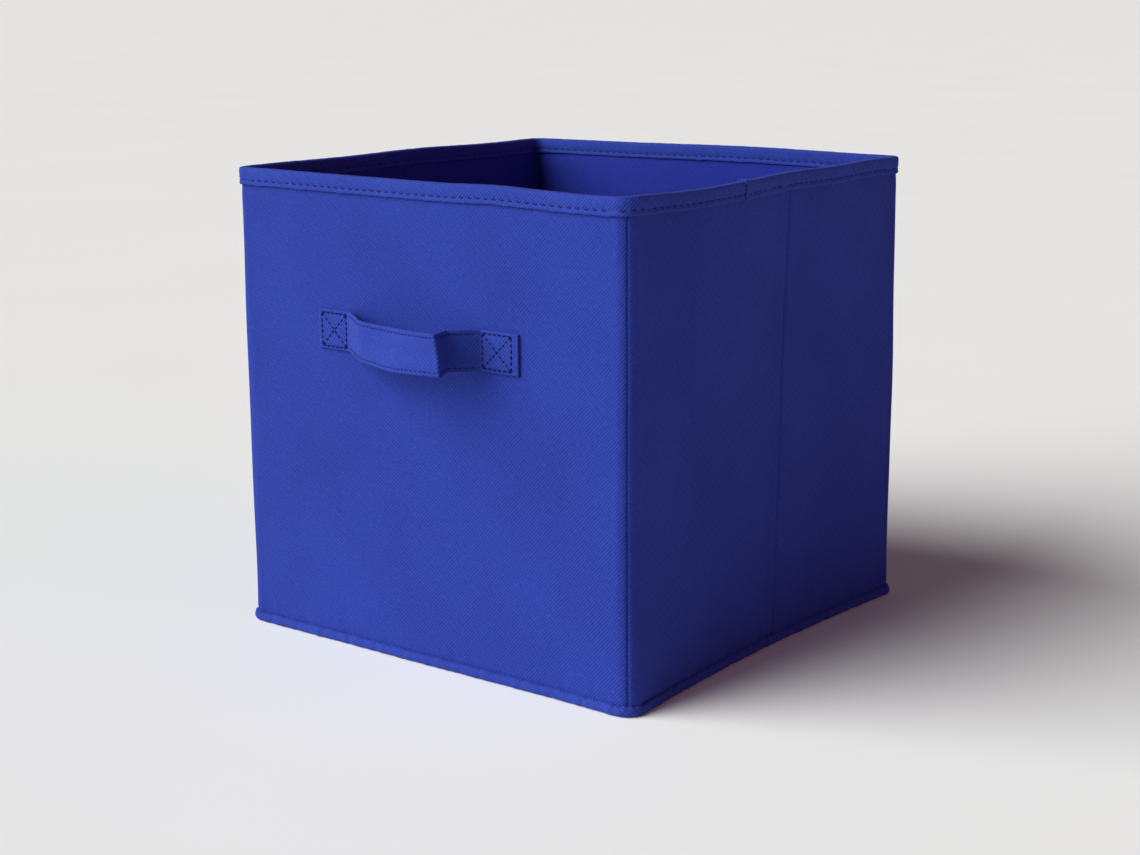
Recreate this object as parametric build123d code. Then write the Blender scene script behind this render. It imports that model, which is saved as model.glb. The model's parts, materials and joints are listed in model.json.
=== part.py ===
from build123d import *
import os

# A folding cloth storage cube, open at the top, with one strap handle on the front.
# Millimetres. Origin on the ground under the middle of the box, +X to the right of the
# front, -Y towards the front, +Z up. Six wall panels stand round a floor of cloth and a
# hinged base board. The two sides fold inwards at a crease in their middle.

# ---- driving dimensions ----
WIDTH = 288.0  # outside of the cover, left to right
DEPTH = 285.0  # outside of the cover, front to back
HEIGHT = 280.0  # ground to the top of the rim binding

COVER_T = 0.8  # outer cloth
BOARD_T = 2.0  # cardboard stiffener
LINING_T = 0.6  # inner cloth
CORNER_R = 6.0  # outside radius of the four upright corners
CORNER_FOLD = 5.0  # free cloth between the front or back lining and the side hinge
BOARD_INSET = 1.2  # a board stops this short of the hems round it

BINDING_T = 0.8  # tape folded over the rim
BINDING_H = 10.0  # how far the tape comes down on both sides
WELT_H = 5.0  # height of the rolled seam at the foot of the walls
WELT_OUT = 2.0  # how far that seam stands out of the wall
WELT_R = 1.8  # rounding of its outer edges
SEAM_T = 0.6  # flat seam allowance under the front and back panels

FLOOR_T = 0.6  # floor cloth
FLOOR_Z = 0.3  # its underside
FLAP_T = 2.0  # base board
SLEEVE_T = 0.3  # cloth sleeve round the base board
FLAP_SIDE_GAP = 1.0  # base board to each side wall
FLAP_BACK_GAP = 4.0  # base board to the back wall, at least
FLAP_TOP_GAP = 0.7  # folded up, it stays this far below the rim tape

GAP = 0.3  # clearance between pieces that move apart

STRAP_W = 23.6  # handle strap, top edge to bottom edge
STRAP_T = 1.4
STRAP_Z = 190.6  # height of its centre line
TAB_LEFT = (-77.0, -54.6)  # ends of the left sewn tab along X
TAB_RIGHT = (46.2, 72.4)
SWING_CLEAR = 7.0  # how far out the swinging loop starts
THREAD_W = 0.6
THREAD_T = 0.3
STITCH_EDGE = 2.2  # stitch line to the strap's edge
STITCH_BOX_LEFT = (-74.6, -55.5)  # ends of the boxed stitching along X
STITCH_BOX_RIGHT = (47.0, 67.6)

JOIN_W = 14.0  # lap where the two ends of the rim tape meet
JOIN_Y = -29.5  # its middle, along the right side
JOIN_T = 0.6

# ---- worked out from them ----
WALL_T = COVER_T + BOARD_T + LINING_T
HALF_W, HALF_D = WIDTH / 2, DEPTH / 2
SIDE_IN = HALF_W - WALL_T  # inner face of a side wall
END_IN = HALF_D - WALL_T  # inner face of the front or back wall
HINGE_Y = END_IN - CORNER_FOLD  # the upright hinges stand at this distance either way
FOOT_Z = WELT_H  # the wall panels stand on the rolled seam
PANEL_TOP = HEIGHT - BINDING_T
BINDING_Z = HEIGHT - BINDING_H
FLAP_THICK = FLAP_T + 2 * SLEEVE_T
LEAF_Y = END_IN - GAP - FLAP_THICK - GAP  # the floor leaves hinge here
FLAP_Z = FLOOR_Z + FLOOR_T + GAP
FLAP_END_Y = -END_IN + GAP  # the base board hinges here
FLAP_LYING = END_IN - FLAP_BACK_GAP - FLAP_END_Y
FLAP_STANDING = BINDING_Z - FLAP_TOP_GAP - FLAP_Z - FLAP_THICK
FLAP_REACH = min(FLAP_LYING, FLAP_STANDING)  # it fits lying down and folded up
LEAF_TIP = 1.0


def block(x, y, z):
    """A box between two X, two Y and two Z values."""
    size = [high - low for low, high in (x, y, z)]
    middle = [(high + low) / 2 for low, high in (x, y, z)]
    return Pos(*middle) * Box(*size)


def upright(plan, z):
    """A flat outline on the ground raised to stand between two heights."""
    return Pos(0, 0, z[0]) * extrude(plan, z[1] - z[0])


def rounded_front(half_x, front_y, radius):
    """A plan area whose two front corners are rounded and that runs back to Y = 0."""
    plan = Pos(0, front_y / 2) * Rectangle(2 * half_x, -front_y)
    corners = plan.vertices().filter_by_position(Axis.Y, front_y - 1, front_y + 1)
    return fillet(corners, radius)


def end_layer(out, inside, z):
    """One cloth layer of the front wall, which wraps both upright corners.

    out and inside say how deep its two faces lie below the outside of the cover.
    The corner has no board in it, so a layer behind the board steps outwards there.
    """

    def area(deep):
        past_board = deep > COVER_T + BOARD_T / 2
        side_deep = deep - BOARD_T if past_board else deep
        radius = CORNER_R - deep
        return rounded_front(HALF_W - side_deep, -HALF_D + deep, radius)

    ring = area(out) - area(inside)
    beyond_hinge = Rectangle(2 * WIDTH, DEPTH, align=(Align.CENTER, Align.MIN))
    free = Pos(0, -HINGE_Y - GAP / 2) * beyond_hinge
    return upright(ring - free, z)


def front_cover():
    return end_layer(0, COVER_T, (FOOT_Z, PANEL_TOP))


def front_board():
    half = HALF_W - CORNER_R
    y = (-HALF_D + COVER_T, -HALF_D + COVER_T + BOARD_T)
    return block((-half, half), y, (FOOT_Z + BOARD_INSET, PANEL_TOP - BOARD_INSET))


def front_lining():
    return end_layer(COVER_T + BOARD_T, WALL_T, (FOOT_Z, PANEL_TOP))


def front_rim_binding():
    outer = end_layer(-BINDING_T, 0, (BINDING_Z, PANEL_TOP))
    inner = end_layer(WALL_T, WALL_T + BINDING_T, (BINDING_Z, PANEL_TOP))
    cap = end_layer(-BINDING_T, WALL_T + BINDING_T, (PANEL_TOP, HEIGHT))
    return outer + inner + cap


def front_bottom_welt():
    bead = end_layer(-WELT_OUT, WALL_T, (0, WELT_H))
    rim = bead.edges().group_by(Axis.Z)[0] + bead.edges().group_by(Axis.Z)[-1]
    outer = [e for e in rim if is_outer(e, HALF_W + WELT_OUT, HALF_D + WELT_OUT)]
    bead = fillet(outer, WELT_R)
    half = HALF_W - COVER_T - LINING_T
    hem_y = (-END_IN, -LEAF_Y - GAP)
    return bead + block((-half, half), hem_y, (FLOOR_Z, FLOOR_Z + SEAM_T))


def is_outer(edge, reach_x, reach_y):
    """True for an edge of the front welt's outermost outline."""
    middle = edge @ 0.5
    on_front = abs(middle.Y + reach_y) < 0.01
    on_side = abs(abs(middle.X) - reach_x) < 0.01
    arc = edge.geom_type == GeomType.CIRCLE and edge.radius > CORNER_R
    return on_front or on_side or arc


SIDE_Y = (-HINGE_Y + GAP / 2, -GAP / 2)  # a front side panel, hinge to crease


def side_cover():
    return block((HALF_W - COVER_T, HALF_W), SIDE_Y, (FOOT_Z, PANEL_TOP))


def side_board():
    x = (SIDE_IN + LINING_T, HALF_W - COVER_T)
    y = (SIDE_Y[0] + BOARD_INSET, SIDE_Y[1] - BOARD_INSET)
    return block(x, y, (FOOT_Z + BOARD_INSET, PANEL_TOP - BOARD_INSET))


def side_lining():
    return block((SIDE_IN, SIDE_IN + LINING_T), SIDE_Y, (FOOT_Z, PANEL_TOP))


def side_rim_binding():
    x = (SIDE_IN - BINDING_T, HALF_W + BINDING_T)
    wall = block((SIDE_IN, HALF_W), SIDE_Y, (BINDING_Z, PANEL_TOP))
    return block(x, SIDE_Y, (BINDING_Z, HEIGHT)) - wall


def side_bottom_welt():
    bead = block((SIDE_IN, HALF_W + WELT_OUT), SIDE_Y, (0, WELT_H))
    outer = bead.edges().filter_by(Axis.Y).group_by(Axis.X)[-1]
    return fillet(outer, WELT_R)


def rim_binding_join():
    """The lap at the ends of the rim tape, a second layer on the outside of the rim."""
    x = (HALF_W + BINDING_T, HALF_W + BINDING_T + JOIN_T)
    y = (JOIN_Y - JOIN_W / 2, JOIN_Y + JOIN_W / 2)
    return block(x, y, (BINDING_Z, HEIGHT - BINDING_T))


# The floor cloth has four creases from its corners to its middle and one on each side
# from the wall's crease to the middle, so that it folds up between the closed walls.
TIP_X = max(HALF_W - HALF_D, 0) + LEAF_TIP
LEAF_X = SIDE_IN - (END_IN - LEAF_Y)


def floor_leaf():
    """The front leaf of the floor: a triangle with a blunt tip at the middle."""
    plan = make_face(Polyline(
        (-LEAF_X, -LEAF_Y), (LEAF_X, -LEAF_Y), (TIP_X, -GAP), (-TIP_X, -GAP), close=True
    ))
    return upright(plan, (FLOOR_Z, FLOOR_Z + FLOOR_T))


def floor_gusset():
    """One of the four small floor triangles, along the front half of the right wall."""
    foot_x = SIDE_IN - GAP
    beside = foot_x - LEAF_X
    plan = make_face(Polyline(
        (foot_x, -LEAF_Y + beside), (foot_x, -GAP / 2), (TIP_X + 2 * GAP, -GAP / 2),
        (LEAF_X + 2 * GAP, -LEAF_Y + beside), close=True
    ))
    return upright(plan, (FLOOR_Z, FLOOR_Z + FLOOR_T))


def base_sleeve():
    half = SIDE_IN - FLAP_SIDE_GAP
    y = (FLAP_END_Y, FLAP_END_Y + FLAP_REACH)
    return block((-half, half), y, (FLAP_Z, FLAP_Z + FLAP_THICK)) - base_board()


def base_board():
    half = SIDE_IN - FLAP_SIDE_GAP - BOARD_INSET
    y = (FLAP_END_Y + BOARD_INSET, FLAP_END_Y + FLAP_REACH - BOARD_INSET)
    return block((-half, half), y, (FLAP_Z + SLEEVE_T, FLAP_Z + SLEEVE_T + FLAP_T))


# ---- handle strap: one length of cloth tape in plan, sewn flat at both ends ----
STRAP_ZS = (STRAP_Z - STRAP_W / 2, STRAP_Z + STRAP_W / 2)
FACE_Y = -HALF_D


def handle_tab(ends):
    return block(ends, (FACE_Y - STRAP_T, FACE_Y), STRAP_ZS)


def tape(points, radii):
    """A run of tape that follows rounded corners in plan."""
    line = FilletPolyline(*points, radius=radii)
    return upright(trace(line, STRAP_T), STRAP_ZS)


def from_wall(points):
    """Plan points from pairs of X and the distance that they stand off the front."""
    return [(x, FACE_Y - off) for x, off in points]


def handle_grip():
    """The loop that stands off the wall, with its sharp upright fold near the right."""
    points = from_wall([
        (-43.7, SWING_CLEAR + STRAP_T / 2), (-30.2, 15.9), (-13.2, 23.1), (6.8, 27.9),
        (35.3, 29.1), (33.8, 13.6), (36.4, SWING_CLEAR + STRAP_T / 2),
    ])
    return tape(points, [20, 30, 30, 1.6, 5])


def handle_flex_left():
    """The short stretch that bends between the left tab and the loop."""
    start = (TAB_LEFT[1] + GAP, STRAP_T / 2)
    return tape(from_wall([start, (-50.2, 1.9), (-44.8, SWING_CLEAR)]), [5])


def handle_flex_right():
    """The same stretch between the loop and the right tab."""
    end = (TAB_RIGHT[0] - GAP, STRAP_T / 2)
    return tape(from_wall([(37.4, SWING_CLEAR), (41.8, 2.3), end]), [5])


def handle_stitching(ends):
    """A box of thread with a cross in it, lying on a sewn tab."""
    z = (STRAP_ZS[0] + STITCH_EDGE, STRAP_ZS[1] - STITCH_EDGE)
    centre = Pos((ends[0] + ends[1]) / 2, STRAP_Z)
    wide, tall = ends[1] - ends[0], z[1] - z[0]
    frame = Rectangle(wide, tall) - Rectangle(wide - 2 * THREAD_W, tall - 2 * THREAD_W)
    corner = (wide / 2 - THREAD_W, tall / 2 - THREAD_W)
    up = trace(Line((-corner[0], -corner[1]), corner), THREAD_W)
    down = trace(Line((-corner[0], corner[1]), (corner[0], -corner[1])), THREAD_W)
    flat = extrude(centre * (frame + up + down), THREAD_T)
    return Pos(0, FACE_Y - STRAP_T, 0) * Rot(90, 0, 0) * flat


# ---- the nodes ----
def to_back(shape):
    return mirror(shape, Plane.XZ)


def to_left(shape):
    return mirror(shape, Plane.YZ)


END_PIECES = {
    "cover": front_cover(),
    "board": front_board(),
    "lining": front_lining(),
    "rim_binding": front_rim_binding(),
    "bottom_welt": front_bottom_welt(),
}
SIDE_PIECES = {
    "cover": side_cover(),
    "board": side_board(),
    "lining": side_lining(),
    "rim_binding": side_rim_binding(),
    "bottom_welt": side_bottom_welt(),
}

nodes = {}
for piece, shape in END_PIECES.items():
    nodes["front_" + piece] = shape
    nodes["back_" + piece] = to_back(shape)
for piece, shape in SIDE_PIECES.items():
    nodes["right_front_" + piece] = shape
    nodes["right_rear_" + piece] = to_back(shape)
    nodes["left_front_" + piece] = to_left(shape)
    nodes["left_rear_" + piece] = to_left(to_back(shape))
nodes["rim_binding_join"] = rim_binding_join()

nodes["floor_leaf_front"] = floor_leaf()
nodes["floor_leaf_rear"] = to_back(floor_leaf())
nodes["floor_gusset_right_front"] = floor_gusset()
nodes["floor_gusset_right_rear"] = to_back(floor_gusset())
nodes["floor_gusset_left_front"] = to_left(floor_gusset())
nodes["floor_gusset_left_rear"] = to_left(to_back(floor_gusset()))
nodes["base_board"] = base_board()
nodes["base_sleeve"] = base_sleeve()

nodes["handle_tab_left"] = handle_tab(TAB_LEFT)
nodes["handle_tab_right"] = handle_tab(TAB_RIGHT)
nodes["handle_flex_left"] = handle_flex_left()
nodes["handle_flex_right"] = handle_flex_right()
nodes["handle_grip"] = handle_grip()
nodes["handle_stitching_left"] = handle_stitching(STITCH_BOX_LEFT)
nodes["handle_stitching_right"] = handle_stitching(STITCH_BOX_RIGHT)

os.makedirs("parts", exist_ok=True)
for name, shape in nodes.items():
    shape.label = name
    export_step(shape, f"parts/{name}.step")
print(len(nodes), "nodes")
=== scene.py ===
"""Looks for the folding cloth storage cube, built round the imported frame."""
import json
import math

import bmesh
import bpy
import numpy as np
from mathutils import Matrix, Vector


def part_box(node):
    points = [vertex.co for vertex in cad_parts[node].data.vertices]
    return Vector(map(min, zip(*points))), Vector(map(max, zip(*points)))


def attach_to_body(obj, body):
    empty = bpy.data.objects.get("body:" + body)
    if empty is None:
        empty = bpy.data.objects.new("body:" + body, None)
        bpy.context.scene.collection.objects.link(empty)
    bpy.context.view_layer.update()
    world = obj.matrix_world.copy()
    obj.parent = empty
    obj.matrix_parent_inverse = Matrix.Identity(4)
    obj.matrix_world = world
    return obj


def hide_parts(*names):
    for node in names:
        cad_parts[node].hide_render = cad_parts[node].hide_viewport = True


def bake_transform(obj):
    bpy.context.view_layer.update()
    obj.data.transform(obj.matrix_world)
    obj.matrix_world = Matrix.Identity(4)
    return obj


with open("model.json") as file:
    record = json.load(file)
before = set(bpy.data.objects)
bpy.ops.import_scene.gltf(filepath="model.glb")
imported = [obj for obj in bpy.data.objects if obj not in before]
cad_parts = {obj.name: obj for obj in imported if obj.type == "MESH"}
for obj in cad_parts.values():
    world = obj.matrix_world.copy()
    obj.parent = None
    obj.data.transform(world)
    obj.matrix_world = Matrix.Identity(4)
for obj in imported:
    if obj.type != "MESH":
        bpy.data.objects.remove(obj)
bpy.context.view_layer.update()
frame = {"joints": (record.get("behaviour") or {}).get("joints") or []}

# ---------------------------------------------------------------- sizes, in millimetres
MM = 0.001  # one millimetre in Blender's metres
TURN = 2 * math.pi  # a full turn, in radians


def mm_box(node):
    """Lowest and highest corner of a CAD node, in millimetres."""
    return [np.array(corner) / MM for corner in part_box(node)]


JOINTS = {joint["name"]: joint for joint in frame["joints"]}


def joint_at(name):
    return np.array(JOINTS[name]["pos_m"]) / MM


HALF_W = mm_box("right_front_cover")[1][0]
HALF_D = -mm_box("front_cover")[0][1]
HEIGHT = mm_box("front_rim_binding")[1][2]
SIDE_IN = mm_box("right_front_lining")[0][0]  # inner face of a side wall
WALL_T = HALF_W - SIDE_IN
COVER_T = HALF_W - mm_box("right_front_cover")[0][0]
LINING_T = mm_box("right_front_lining")[1][0] - SIDE_IN
HINGE_Y = joint_at("right_rear_corner")[1]
BINDING_Z = mm_box("front_rim_binding")[0][2]
FOOT_Z = mm_box("front_cover")[0][2]
WELT_OUT = mm_box("right_front_bottom_welt")[1][0] - HALF_W
FLOOR_LOW, FLOOR_TOP = (corner[2] for corner in mm_box("floor_leaf_front"))
CORNER_R = 8.5  # the cloth rounds its corners off more softly than the modelled tubes

STITCH = 5.6  # one stitch and its gap along the rim
HEM_UP = 2.8  # from the rim tape's lower edge up to its stitch line
HEM_Z = BINDING_Z + HEM_UP
BLEND = 3.2  # half the width of cloth that bends at a corner hinge
CREASE_BLEND = 4.4  # the same at the crease of a side
FINE, TAPE_STEP, MEDIUM, COARSE = 0.8, 1.2, 2.5, 6.0  # spacing of mesh points
END_RING = 0.02  # from an end cap to the next ring, so that the cap leaves no shading line

# ---------------------------------------------------------------- the outline in plan
RUN_X, RUN_Y = 2 * (HALF_W - CORNER_R), 2 * (HALF_D - CORNER_R)
ARC = math.pi / 2 * CORNER_R
ROUND = 2 * (RUN_X + RUN_Y) + 4 * ARC
# Distance round the outline, from the middle of the front towards +X, to each stretch.
FRONT_END = RUN_X / 2
RIGHT_START = FRONT_END + ARC
BACK_START = RIGHT_START + RUN_Y + ARC
LEFT_START = BACK_START + RUN_X + ARC
FRONT_AGAIN = LEFT_START + RUN_Y + ARC


def right_at(y):
    return RIGHT_START + y + HALF_D - CORNER_R


def left_at(y):
    return LEFT_START + HALF_D - CORNER_R - y


def back_at(x):
    return BACK_START + HALF_W - CORNER_R - x


def outline(u):
    """Plan points and outward normals of the cover's outside at distances u round it."""
    u = np.mod(np.asarray(u, float), ROUND)
    corner_x, corner_y = HALF_W - CORNER_R, HALF_D - CORNER_R
    point, normal = np.zeros((len(u), 2)), np.zeros((len(u), 2))
    lines = (
        (0, FRONT_END, (0, -HALF_D), (1, 0), (0, -1)),
        (RIGHT_START, RIGHT_START + RUN_Y, (HALF_W, -corner_y), (0, 1), (1, 0)),
        (BACK_START, BACK_START + RUN_X, (corner_x, HALF_D), (-1, 0), (0, 1)),
        (LEFT_START, LEFT_START + RUN_Y, (-HALF_W, corner_y), (0, -1), (-1, 0)),
        (FRONT_AGAIN, ROUND, (-corner_x, -HALF_D), (1, 0), (0, -1)),
    )
    for low, high, start, along, out in lines:
        on = (u >= low) & (u <= high)
        point[on] = np.array(start) + (u[on] - low)[:, None] * np.array(along)
        normal[on] = out
    arcs = (
        (FRONT_END, (corner_x, -corner_y), -90),
        (RIGHT_START + RUN_Y, (corner_x, corner_y), 0),
        (BACK_START + RUN_X, (-corner_x, corner_y), 90),
        (LEFT_START + RUN_Y, (-corner_x, -corner_y), 180),
    )
    for low, centre, first in arcs:
        on = (u > low) & (u < low + ARC)
        angle = np.radians(first) + (u[on] - low) / CORNER_R
        normal[on] = np.stack([np.cos(angle), np.sin(angle)], 1)
        point[on] = np.array(centre) + CORNER_R * normal[on]
    return point, normal


# ---------------------------------------------------------------- how the cloth has settled
def hump(value, centre, width):
    return np.exp(-(((value - centre) / width) ** 2))


def ripple(a, b, seed):
    """Gentle unevenness of stretched cloth, about 1 at its largest."""
    rng = np.random.default_rng(seed)
    total = np.zeros(np.broadcast(a, b).shape)
    for wave in (150.0, 95.0, 62.0, 41.0):
        way, phase = rng.uniform(0, TURN, 2)
        total += wave / 150 * np.sin(
            TURN / wave * (a * math.cos(way) + b * math.sin(way)) + phase
        )
    return total / 2.2


def by_side(normal, front, right, back, left):
    """One value for each way the wall faces, blended round the corners."""
    facing = np.stack([-normal[..., 1], normal[..., 0], normal[..., 1], -normal[..., 0]])
    return (np.maximum(facing, 0) ** 2 * np.stack([front, right, back, left])).sum(0)


def settle(point, normal, z):
    """How far the wall stands out of true along its normal at plan points and heights."""
    x, y = point[..., 0], point[..., 1]
    up = z / HEIGHT
    tent = np.clip(1 - np.abs(y) / (HALF_D - CORNER_R), 0, 1)
    foot = hump(z, 0, 60)
    front = 0.5 * ripple(x, z, 3) + 1.0 * hump(x, 55, 60) * up + 0.8 * foot * hump(x, HALF_W, 45)
    right = (
        -4.0 * tent * (1 - 0.8 * up**2) + 3.2 * hump(y, -66, 38) * up**2
        + 0.5 * ripple(y, z, 5) + 2.4 * foot * hump(y, -HALF_D, 40)
        + 2.2 * hump(y, HALF_D, 45) * np.clip(1.25 - up**2, 0, 1)
    )
    left = -2.4 * tent + 0.5 * ripple(y, z, 8) + 1.6 * hump(y, -HALF_D, 60) * (1 - up**3)
    back = 0.7 * ripple(x, z, 11)
    return by_side(normal, front, right, back, left)


def rim_lift(point, normal):
    """How far the top edge stands above true height, round the rim."""
    x, y = point[..., 0], point[..., 1]
    front = 1.0 * hump(x, 56, 26) - 0.4 * hump(x, 118, 18) + 0.3 * hump(x, -120, 30)
    right = -1.3 * hump(y, -68, 36) + 0.3 * np.sin(y / 13)
    left = 0.3 * np.sin(y / 21 + 1) - 2.4 * hump(y, HALF_D, 90)
    back = 0.3 * np.sin(x / 26) - 2.4 * hump(x, -HALF_W, 90)
    return by_side(normal, front, right, back, left)


def on_wall(u, offset, z):
    """Points at distances u round the outline, offsets out of the cover and heights."""
    point, normal = outline(np.ravel(u))
    point = point.reshape(np.shape(u) + (2,))
    normal = normal.reshape(np.shape(u) + (2,))
    out = offset + settle(point, normal, z)
    lift = rim_lift(point, normal) * np.clip((z / HEIGHT - 0.6) / 0.4, 0, 1) ** 2
    return np.concatenate([
        point + out[..., None] * normal, (z + lift)[..., None]
    ], -1)


# ---------------------------------------------------------------- mesh helpers
def spaced(low, high, step, *extra):
    """Values from low to high about step apart, with any extra ones that fall inside."""
    values = np.linspace(low, high, max(2, int(math.ceil((high - low) / step)) + 1))
    more = [v for v in np.ravel(extra) if low < v < high] if len(extra) else []
    values = np.sort(np.concatenate([values, more]))
    values = values[np.concatenate([[True], np.diff(values) > 0.05])]
    values[-1] = high
    return values


def new_object(name, points, faces, uvs, material):
    """A smooth mesh object from points in millimetres, with cloth coordinates in metres."""
    mesh = bpy.data.meshes.new(name)
    mesh.from_pydata((np.asarray(points) * MM).tolist(), [], faces)
    shell = bmesh.new()
    shell.from_mesh(mesh)
    bmesh.ops.recalc_face_normals(shell, faces=shell.faces)
    shell.to_mesh(mesh)
    shell.free()
    layer = mesh.uv_layers.new(name="Cloth")
    corner = np.zeros(len(mesh.loops), np.int32)
    mesh.loops.foreach_get("vertex_index", corner)
    layer.data.foreach_set("uv", (np.asarray(uvs, float) * MM)[corner].ravel())
    for face in mesh.polygons:
        face.use_smooth = face.loop_total == 4  # end caps stay flat
    mesh.materials.append(material)
    mesh.update()
    piece = bpy.data.objects.new(name, mesh)
    bpy.context.scene.collection.objects.link(piece)
    return piece


def grid_faces(columns, rows, closed_rows):
    """Quads of a grid of columns by rows, rows wrapping round if closed, with end caps."""
    faces = []
    last = rows if closed_rows else rows - 1
    for i in range(columns - 1):
        for j in range(last):
            k = (j + 1) % rows
            faces.append((i * rows + j, (i + 1) * rows + j, (i + 1) * rows + k, i * rows + k))
    if closed_rows:
        end = (columns - 1) * rows
        faces.append(tuple(range(rows)))
        faces.append(tuple(end + j for j in reversed(range(rows))))
    return faces


def sweep(name, us, profile, material, relief=None):
    """A closed band of cloth round part of the outline, with a close ring by each end cap.

    profile is a closed loop of (offset, height); relief(u, offset, z) gives what is added
    to the offset and to the height.
    """
    profile = np.asarray(profile, float)
    length = np.concatenate([
        [0], np.cumsum(np.linalg.norm(np.diff(profile, axis=0), axis=1))
    ])
    us = np.concatenate([[us[0], us[0] + END_RING], us[1:-1], [us[-1] - END_RING, us[-1]]])
    shape = (len(us), len(profile))
    u = np.broadcast_to(np.asarray(us)[:, None], shape)
    offset = np.broadcast_to(profile[:, 0], shape).copy()
    z = np.broadcast_to(profile[:, 1], shape).copy()
    if relief is not None:
        more_out, more_up = relief(u, offset, z)
        offset, z = offset + more_out, z + more_up
    points = on_wall(u, offset, z).reshape(-1, 3)
    v = np.broadcast_to(profile[0, 1] + length, shape)
    uvs = np.stack([u, v], -1).reshape(-1, 2)
    return new_object(name, points, grid_faces(*shape, True), uvs, material)


def threads(name, centres, along, out, length, radius, material, lift=0.35):
    """Many short stitches, each a small arched tube whose ends dive into the cloth."""
    rings, sides = 5, 6
    across = np.cross(along, out)
    points, faces, uvs = [], [], []
    for k in range(rings):
        t = k / (rings - 1)
        rise = math.sin(math.pi * t)
        middle = centres + along * (t - 0.5) * length + out * (lift * rise - 0.5 * lift)
        girth = radius * (0.5 + 0.5 * rise)
        for m in range(sides):
            angle = TURN * m / sides
            points.append(middle + girth * (math.cos(angle) * out + math.sin(angle) * across))
            uvs.append(np.tile([t * length, 4 * radius * m / sides], (len(centres), 1)))
    points = np.stack(points, 1).reshape(-1, 3)
    uvs = np.stack(uvs, 1).reshape(-1, 2)
    for n in range(len(centres)):
        base = n * rings * sides
        for k in range(rings - 1):
            for m in range(sides):
                a, b = base + k * sides + m, base + k * sides + (m + 1) % sides
                faces.append((a, b, b + sides, a + sides))
        faces.append(tuple(base + m for m in reversed(range(sides))))
        faces.append(tuple(base + (rings - 1) * sides + m for m in range(sides)))
    return new_object(name, points, faces, uvs, material)


def wall_threads(name, u, z, offset, inward, upright, length, radius, material):
    """Stitches lying on a wall piece at distances u and heights z."""
    u, z = np.broadcast_arrays(np.asarray(u, float), np.asarray(z, float))
    centres = on_wall(u, offset, z)
    if upright:
        ahead = on_wall(u, offset, z + 1.0) - centres
    else:
        ahead = on_wall(u + 1.0, offset, z) - centres
    along = ahead / np.linalg.norm(ahead, axis=1, keepdims=True)
    normal = outline(u)[1] * (-1 if inward else 1)
    out = np.concatenate([normal, np.zeros((len(u), 1))], 1)
    return threads(name, centres, along, out, length, radius, material)


# ---------------------------------------------------------------- materials
def node_material(name):
    material = bpy.data.materials.new(name)
    material.use_nodes = True
    tree = material.node_tree
    tree.nodes.clear()
    output = tree.nodes.new("ShaderNodeOutputMaterial")
    shader = tree.nodes.new("ShaderNodeBsdfPrincipled")
    tree.links.new(shader.outputs[0], output.inputs[0])
    return material, tree, shader


def cloth_place(tree):
    """The cloth's own coordinates, in metres along it and up it."""
    node = tree.nodes.new("ShaderNodeUVMap")
    node.uv_map = "Cloth"
    return node.outputs[0]


def add_bump(tree, shader, height, strength, distance):
    bump = tree.nodes.new("ShaderNodeBump")
    bump.inputs["Strength"].default_value = strength
    bump.inputs["Distance"].default_value = distance * MM
    tree.links.new(height, bump.inputs["Height"])
    tree.links.new(bump.outputs[0], shader.inputs["Normal"])


def math_node(tree, operation, a, b=None):
    node = tree.nodes.new("ShaderNodeMath")
    node.operation = operation
    for socket, value in zip(node.inputs, (a, b)):
        if value is None:
            continue
        if isinstance(value, (int, float)):
            socket.default_value = value
        else:
            tree.links.new(value, socket)
    return node.outputs[0]


def noise(tree, vector, scale, detail=2.0, roughness=0.5):
    node = tree.nodes.new("ShaderNodeTexNoise")
    node.inputs["Scale"].default_value = scale
    node.inputs["Detail"].default_value = detail
    node.inputs["Roughness"].default_value = roughness
    tree.links.new(vector, node.inputs["Vector"])
    return node.outputs["Fac"]


def ramp(tree, value, low, high, to_low=0.0, to_high=1.0):
    node = tree.nodes.new("ShaderNodeMapRange")
    node.inputs["From Min"].default_value = low
    node.inputs["From Max"].default_value = high
    node.inputs["To Min"].default_value = to_low
    node.inputs["To Max"].default_value = to_high
    tree.links.new(value, node.inputs["Value"])
    return node.outputs[0]


def mixed(tree, share, a, b):
    node = tree.nodes.new("ShaderNodeMix")
    node.data_type = "RGBA"
    for socket, value in zip((node.inputs[0], node.inputs[6], node.inputs[7]), (share, a, b)):
        if isinstance(value, tuple):
            socket.default_value = value + (1.0,)
        elif isinstance(value, (int, float)):
            socket.default_value = value
        else:
            tree.links.new(value, socket)
    return node.outputs[2]


TWILL_PITCH = 1.55 * MM  # from one slanting rib to the next
TWILL_SLOPE = math.radians(47)  # how steeply the ribs climb
DASH = 2.4  # length of one dash of a rib, in pitches


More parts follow.
